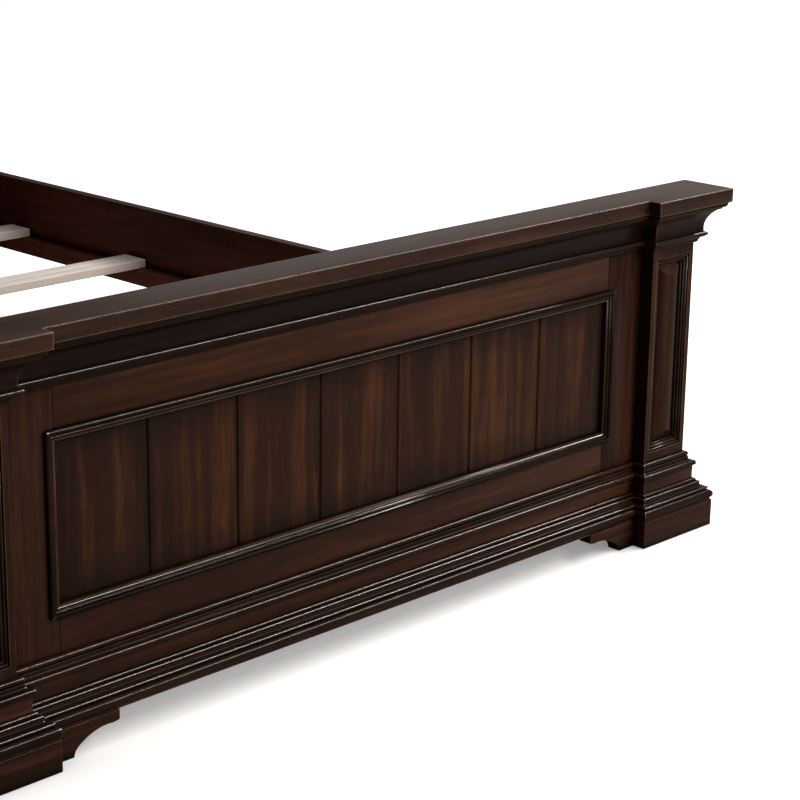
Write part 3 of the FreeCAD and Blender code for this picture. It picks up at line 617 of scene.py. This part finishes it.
# boards whose arrises are taken off, in mm, so that their joints show as fine lines: the
# first word that a name has gives the radius
boardEdges = {
    "stile": 0.7, "_rail": 0.7, "apron": 0.6, "plinth": 0.8, "foot_block": 1.2,
    "bracket_foot": 1.0, "cleat": 1.0, "centre_legs": 1.2, "slat_": 1.0, "cap": 1.2,
}
edgeLook = {
    "weldMm": 0.01,        # corners nearer than this are one
    "flatDegrees": 0.5,    # faces nearer to one plane than this become one
    "arrisDegrees": 35,    # an edge sharper than this is an arris
    "segments": 2,
    "smoothDegrees": 28,   # an edge blunter than this is shaded smooth
}


# a node's own mesh, welded, to be worked on as a copy
def nodeForm(name):
    form = bmesh.new()
    form.from_mesh(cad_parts[name].data)
    bmesh.ops.remove_doubles(form, verts=form.verts, dist=edgeLook["weldMm"] / 1000)
    return form


# stands a worked copy in the place of its node
def standIn(name, ending, form, finishes):
    mesh = bpy.data.meshes.new(name + ending)
    form.to_mesh(mesh)
    form.free()
    for finish in finishes:
        mesh.materials.append(finish)
    mesh.shade_smooth()
    mesh.set_sharp_from_angle(angle=math.radians(edgeLook["smoothDegrees"]))
    piece = bpy.data.objects.new(name + ending, mesh)
    bpy.context.scene.collection.objects.link(piece)
    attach(piece, "root")
    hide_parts(name)


# a copy of a board with every arris rounded over, dark where it meets a flush neighbour
def easedBoard(name, arrisMm):
    form = nodeForm(name)
    bmesh.ops.dissolve_limit(form, angle_limit=math.radians(edgeLook["flatDegrees"]),
                             verts=form.verts, edges=form.edges)
    sharp = math.radians(edgeLook["arrisDegrees"])
    arrises = [edge for edge in form.edges
               if len(edge.link_faces) == 2 and edge.calc_face_angle(0) > sharp]
    flush = finishFor(name) in flushWood.values()
    bmesh.ops.bevel(form, geom=arrises, offset=arrisMm / 1000, segments=edgeLook["segments"],
                    profile=0.5, affect="EDGES", clamp_overlap=True, material=1 if flush else -1)
    standIn(name, "_eased", form, [finishFor(name)] + ([jointLine] if flush else []))


for name in sorted(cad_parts):
    word = next((word for word in boardEdges if word in name), None)
    if word:
        easedBoard(name, boardEdges[word])
print("boards eased")


# the faces that are joined to one face, which are all taken out of the waiting ones
def joinedFaces(start, waiting):
    waiting.discard(start)
    joined = [start]
    for face in joined:
        for edge in face.edges:
            for near in edge.link_faces:
                if near in waiting:
                    waiting.discard(near)
                    joined.append(near)
    return joined


# a copy of a mitred frame of mouldings whose upright lengths have upright grain
def mitredFrame(name, level, upright):
    form = nodeForm(name)
    waiting = set(form.faces)
    for start in form.faces:
        if start in waiting:
            length = joinedFaces(start, waiting)
            corners = [corner.co for face in length for corner in face.verts]
            wide = max(c.x for c in corners) - min(c.x for c in corners)
            tall = max(c.z for c in corners) - min(c.z for c in corners)
            for face in length:
                face.material_index = 1 if tall > wide else 0
    standIn(name, "_lengths", form, [level, upright])


for end in ("footboard", "headboard"):
    mitredFrame(end + "_panel_moulding", trim, uprightTrim)
    mitredFrame(end + "_post_mouldings", trim, postTrim)
print("moulding frames mitred")

# floor and sky
stageLook = {
    "floor": "#D2D2D1",
    "floorReach": 80,           # metres to each side
    "floorDropMm": 0.5,         # below the feet, so that the two don't share a plane
    "floorGlow": 0.92,          # what the camera sees of the floor away from the object's painted shade
    "shadowGlow": 0.22,         # and under the object, where the glow is dimmed as painted shade
    "shadowReach": 0.5,         # metres
    "shadowSpan": (0.45, 1.0),  # occlusion from full painted shade to none
    "skyLight": 0.14,
    "skyGloss": 0.30,           # what polish and metal show of the white sky
}
# softboxes, in metres and watts
lampLook = {
    "keySoftbox": {             # large, in front
        "place": (0.2, -5.0, 2.6), "aim": (0, -1.1, 0.35), "size": (2.4, 1.8), "watts": 76},
    "stripSoftbox": {           # long and narrow, draws the lines on the beads
        "place": (2.25, -2.5, 2.5), "aim": (0.3, -1.1, 0.35), "size": (3.8, 0.42), "watts": 170},
    "fillSoftbox": {            # from the left, behind the camera
        "place": (-4.2, -3.0, 2.6), "aim": (0, -0.6, 0.3), "size": (2.0, 2.0), "watts": 22},
    "backSoftbox": {            # shines along the cap from behind, on the right
        "place": (4.6, 2.5, 1.75), "aim": (0.6, -1.1, 0.64), "size": (3.6, 1.4), "watts": 15},
    "rearSoftbox": {            # low behind the headboard, for its back alone
        "place": (-0.9, 4.2, 1.15), "aim": (0, 1.13, 0.75), "size": (2.6, 1.3), "watts": 75},
}
lampColour = (1.0, 0.96, 0.92)  # linear, a little warm
white = (1, 1, 1, 1)


# 1 for a ray by which the camera sees, straight or through glass, and otherwise 0
def seenRays(tree, ray):
    return addNode(tree, "Math", {"operation": "MAXIMUM"}, {
        0: ray.outputs["Is Camera Ray"], 1: ray.outputs["Is Transmission Ray"]})


# pale paper that glows for the camera alone, so that it meets the white sky with no line
def makeStage(look):
    mesh = bpy.data.meshes.new("studioFloor")
    form = bmesh.new()
    bmesh.ops.create_grid(form, x_segments=2, y_segments=2, size=look["floorReach"])
    form.to_mesh(mesh)
    form.free()
    floor = bpy.data.objects.new("studioFloor", mesh)
    floor.location.z = -look["floorDropMm"] / 1000
    bpy.context.scene.collection.objects.link(floor)
    material = bpy.data.materials.new("palePaper")
    material.use_nodes = True
    tree = material.node_tree
    tree.nodes.clear()
    seen = seenRays(tree, addNode(tree, "LightPath"))
    # the glow fades by occlusion near and under the object: painted shade, which also lets its
    # lamp shadow show on the paper
    unshaded = addNode(tree, "AmbientOcclusion", {"samples": 12}, {
        "Distance": look["shadowReach"]})
    fade = addNode(tree, "MapRange", {"interpolation_type": "SMOOTHSTEP"}, {
        "Value": unshaded.outputs["AO"], "From Min": look["shadowSpan"][0],
        "From Max": look["shadowSpan"][1], "To Min": look["shadowGlow"],
        "To Max": look["floorGlow"]})
    strength = addNode(tree, "Math", {"operation": "MULTIPLY"}, {
        0: seen.outputs[0], 1: fade.outputs[0]})
    paper = addNode(tree, "BsdfDiffuse", None, {"Color": linear(look["floor"])})
    glow = addNode(tree, "Emission", None, {"Color": white, "Strength": strength.outputs[0]})
    both = addNode(tree, "AddShader", None, {0: paper.outputs[0], 1: glow.outputs[0]})
    addNode(tree, "OutputMaterial", None, {"Surface": both.outputs[0]})
    mesh.materials.append(material)


# a sky that is white to the camera, pale in reflections and dim as a light
def makeSky(look):
    world = bpy.data.worlds.new("studioSky")
    bpy.context.scene.world = world
    world.use_nodes = True
    tree = world.node_tree
    tree.nodes.clear()
    ray = addNode(tree, "LightPath")
    seen = seenRays(tree, ray)
    shown = addNode(tree, "Math", {"operation": "MULTIPLY"}, {
        0: ray.outputs["Is Glossy Ray"], 1: look["skyGloss"]})
    either = addNode(tree, "Math", {"operation": "MAXIMUM"}, {
        0: seen.outputs[0], 1: shown.outputs[0]})
    strength = addNode(tree, "Math", {"operation": "MAXIMUM"}, {
        0: either.outputs[0], 1: look["skyLight"]})
    background = addNode(tree, "Background", None, {
        "Color": white, "Strength": strength.outputs[0]})
    addNode(tree, "OutputWorld", None, {"Surface": background.outputs[0]})


# a softbox that lies level along its width and faces its aim
def softLamp(name, look):
    data = bpy.data.lights.new(name, "AREA")
    data.shape = "RECTANGLE"
    data.size, data.size_y = look["size"]
    data.energy = look["watts"]
    data.color = lampColour
    lamp = bpy.data.objects.new(name, data)
    lamp.location = look["place"]
    towards = Vector(look["aim"]) - Vector(look["place"])
    lamp.rotation_euler = towards.to_track_quat("-Z", "Y").to_euler()
    lamp.visible_camera = False
    bpy.context.scene.collection.objects.link(lamp)


makeStage(stageLook)
makeSky(stageLook)
for name, look in lampLook.items():
    softLamp(name, look)
bpy.context.scene.view_settings.view_transform = "Standard"
print("stage and lights set")
